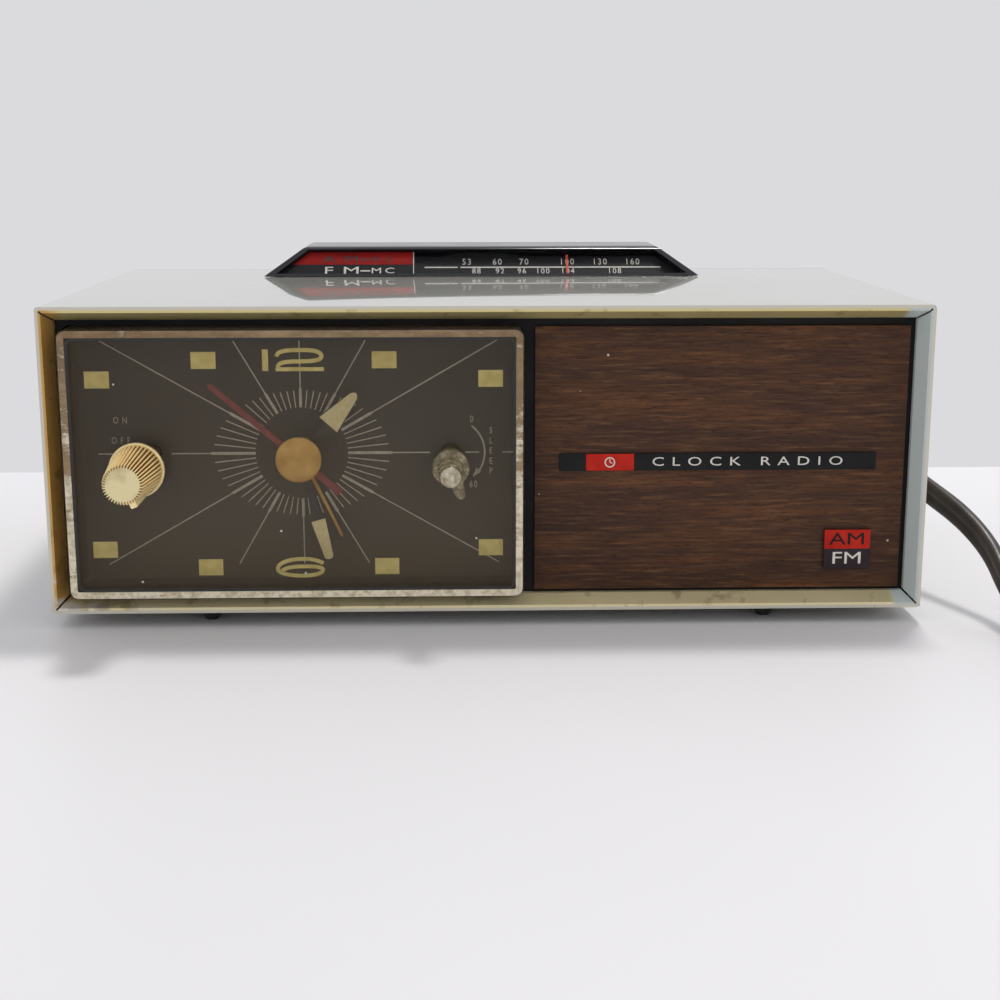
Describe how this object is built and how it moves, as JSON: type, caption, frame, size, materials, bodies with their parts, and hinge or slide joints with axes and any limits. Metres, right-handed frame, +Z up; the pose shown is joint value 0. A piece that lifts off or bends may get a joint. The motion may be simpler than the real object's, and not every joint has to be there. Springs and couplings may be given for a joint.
{
  "type": "clock radio",
  "caption": "Low metal-cased mains clock radio with an analogue alarm clock, wood-grain panel, raised tuning dial and coiled cord.",
  "frame": {"origin": "middle of the footprint without the cord, on the table", "axes": "+X to the right along the width, +Y to the back, +Z up"},
  "size_m": [0.442, 0.3287, 0.1178],
  "materials": {
    "cabinet_paint": "warm grey satin stove paint on steel",
    "black_gloss": "gloss moulded polystyrene",
    "black_matte": "matt moulded plastic",
    "walnut_vinyl": "walnut-grain vinyl on hardboard",
    "red_block": "red printed plastic",
    "clear_acrylic": "clear moulded acrylic",
    "dial_paint": "brown-grey matt paint on aluminium",
    "gold_plate": "gold-plated moulding",
    "lume": "aged luminous paint on aluminium",
    "red_paint": "red paint on aluminium",
    "brass": "drawn and stamped brass",
    "steel": "zinc-plated steel",
    "circuit_board": "paper-phenolic board",
    "fibreboard": "pressed fibreboard",
    "cone_paper": "pressed paper",
    "rubber": "moulded rubber",
    "cord_pvc": "brown flexible PVC"
  },
  "bodies": {
    "cabinet": {"cabinet_sleeve": "cabinet_paint", "front_baffle": "black_gloss", "woodgrain_panel": "walnut_vinyl", "name_strip": "black_gloss", "band_badge": "red_block", "foot_front_left": "rubber", "foot_rear_left": "rubber", "foot_front_right": "rubber", "foot_rear_right": "rubber", "back_cover": "fibreboard", "cover_screw_left": "steel", "cover_screw_right": "steel", "clock_crystal": "clear_acrylic", "clock_dial": "dial_paint", "movement_front_plate": "brass", "movement_rear_plate": "brass", "clock_motor": "steel", "mode_switch": "fibreboard", "sleep_timer": "steel", "tuning_hood": "black_gloss", "tuning_window": "clear_acrylic", "tuning_scale": "black_matte", "pointer_rail": "steel", "dial_lamp": "clear_acrylic", "chassis": "steel", "circuit_board": "circuit_board", "tuning_capacitor": "steel", "volume_control": "steel", "band_switch": "fibreboard", "ferrite_antenna": "fibreboard", "speaker_basket": "steel", "power_transformer": "steel", "filter_capacitor": "steel", "strain_relief": "cord_pvc", "power_cord": "cord_pvc", "cord_coil": "cord_pvc", "mains_plug": "black_matte"},
    "mode_knob": {"mode_knob": "gold_plate"},
    "sleep_lever": {"sleep_lever": "clear_acrylic", "sleep_cap": "steel"},
    "minute_work": {"minute_arbor": "brass", "minute_hand": "lume"},
    "hour_work": {"hour_wheel": "brass", "hour_hand": "lume"},
    "alarm_work": {"alarm_wheel": "brass", "alarm_hand": "brass"},
    "second_work": {"second_arbor": "brass", "second_hand": "red_paint", "centre_cap": "gold_plate"},
    "motor_pinion": {"motor_pinion": "brass"},
    "time_set": {"motion_wheel": "brass", "time_set_knob": "black_matte"},
    "alarm_set": {"alarm_pinion": "brass", "alarm_set_knob": "black_matte"},
    "tuning_knob": {"tuning_knob": "black_matte"},
    "tuning_rotor": {"tuning_rotor": "steel"},
    "volume_knob": {"volume_knob": "black_matte"},
    "dial_pointer": {"dial_pointer": "red_paint"},
    "band_slider": {"band_slider": "black_matte"},
    "speaker_cone": {"speaker_cone": "cone_paper"}
  },
  "joints": [
    {"name": "mode_turn", "type": "hinge", "parent": "cabinet", "child": "mode_knob", "pos_m": [-0.11835, -0.07635, 0.0552], "axis": [0, 1, 0], "range_deg": [0, 90]},
    {"name": "sleep_turn", "type": "hinge", "parent": "cabinet", "child": "sleep_lever", "pos_m": [-0.01775, -0.07635, 0.0552], "axis": [0, 1, 0], "range_deg": [-126, 0]},
    {"name": "minute_turn", "type": "hinge", "parent": "cabinet", "child": "minute_work", "pos_m": [-0.06815, -0.05635, 0.0552], "axis": [0, 1, 0], "continuous": true},
    {"name": "hour_turn", "type": "hinge", "parent": "cabinet", "child": "hour_work", "pos_m": [-0.06815, -0.05635, 0.0552], "axis": [0, 1, 0], "continuous": true},
    {"name": "time_set_turn", "type": "hinge", "parent": "cabinet", "child": "time_set", "pos_m": [-0.06815, 0.02365, 0.0432], "axis": [0, 1, 0], "continuous": true},
    {"name": "second_turn", "type": "hinge", "parent": "cabinet", "child": "second_work", "pos_m": [-0.06815, -0.05635, 0.0552], "axis": [0, 1, 0], "continuous": true},
    {"name": "motor_turn", "type": "hinge", "parent": "cabinet", "child": "motor_pinion", "pos_m": [-0.07522, -0.03135, 0.06227], "axis": [0, 1, 0], "continuous": true},
    {"name": "alarm_turn", "type": "hinge", "parent": "cabinet", "child": "alarm_work", "pos_m": [-0.06815, -0.05635, 0.0552], "axis": [0, 1, 0], "continuous": true},
    {"name": "alarm_set_turn", "type": "hinge", "parent": "cabinet", "child": "alarm_set", "pos_m": [-0.05615, 0.02365, 0.0552], "axis": [0, 1, 0], "continuous": true},
    {"name": "tuning_turn", "type": "hinge", "parent": "cabinet", "child": "tuning_knob", "pos_m": [0.13985, -0.01635, 0.075], "axis": [1, 0, 0], "range_deg": [-324, 216]},
    {"name": "rotor_turn", "type": "hinge", "parent": "cabinet", "child": "tuning_rotor", "pos_m": [0.09485, 0.01365, 0.075], "axis": [1, 0, 0], "range_deg": [-108, 72]},
    {"name": "pointer_slide", "type": "slide", "parent": "cabinet", "child": "dial_pointer", "axis": [1, 0, 0], "range_m": [-0.042, 0.028]},
    {"name": "volume_turn", "type": "hinge", "parent": "cabinet", "child": "volume_knob", "pos_m": [0.13985, 0.04365, 0.075], "axis": [1, 0, 0], "range_deg": [0, 300]},
    {"name": "band_slide", "type": "slide", "parent": "cabinet", "child": "band_slider", "axis": [0, 1, 0], "range_m": [0, 0.006]},
    {"name": "cone_travel", "type": "slide", "parent": "cabinet", "child": "speaker_cone", "axis": [0, 0, 1], "range_m": [-0.0008, 0.0008], "stiffness_N_per_m": 300}
  ],
  "couplings": [
    {"joint": "hour_turn", "follows": "minute_turn", "ratio": 0.083333},
    {"joint": "time_set_turn", "follows": "minute_turn", "ratio": -0.33333},
    {"joint": "motor_turn", "follows": "second_turn", "ratio": -3},
    {"joint": "alarm_set_turn", "follows": "alarm_turn", "ratio": -3},
    {"joint": "rotor_turn", "follows": "tuning_turn", "ratio": 0.33333},
    {"joint": "pointer_slide", "follows": "tuning_turn", "m_per_rad": 0.0074}
  ]
}
